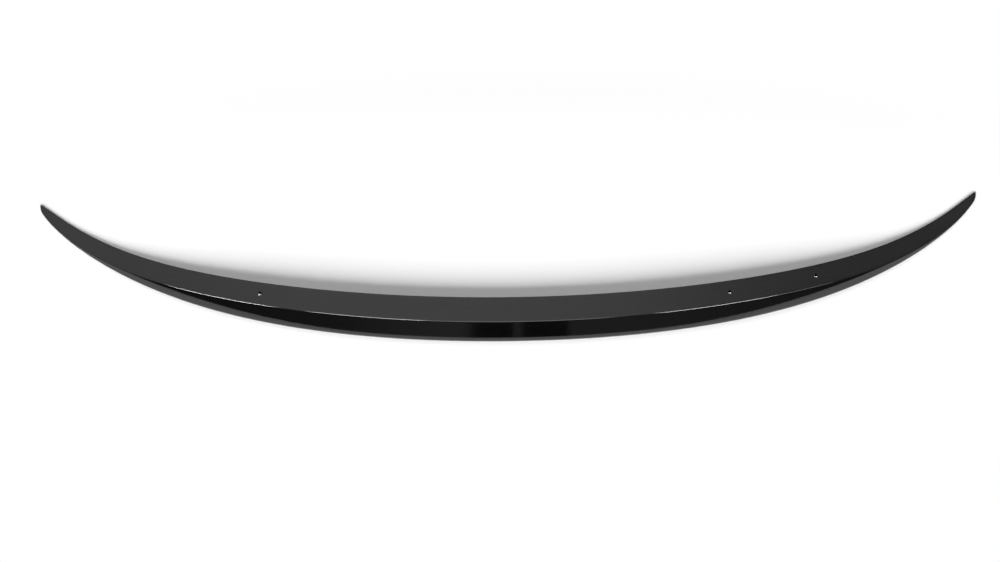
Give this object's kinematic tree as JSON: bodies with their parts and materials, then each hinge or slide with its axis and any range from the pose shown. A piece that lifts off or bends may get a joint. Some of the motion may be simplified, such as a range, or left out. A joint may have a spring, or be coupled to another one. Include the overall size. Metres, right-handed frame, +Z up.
{
  "type": "car rear spoiler",
  "caption": "Bow-shaped lip spoiler for a car's boot lid: a slim hollow moulding with an undercut rear face, a rounded lip and blade tips.",
  "frame": {"origin": "on the bench that the spoiler lies on upside down, under the middle of its box", "axes": "+X along the span, +Y towards the front edge and the front of the car, +Z up from the bench, out of the bonding face"},
  "size_m": [1.1218, 0.2209, 0.0262],
  "materials": {
    "painted_plastic": "gloss black paint on the rear face, the lip and the top, with the bonding face left bare and satin"
  },
  "bodies": {
    "root": {"spoiler_body": "painted_plastic"}
  },
  "joints": []
}
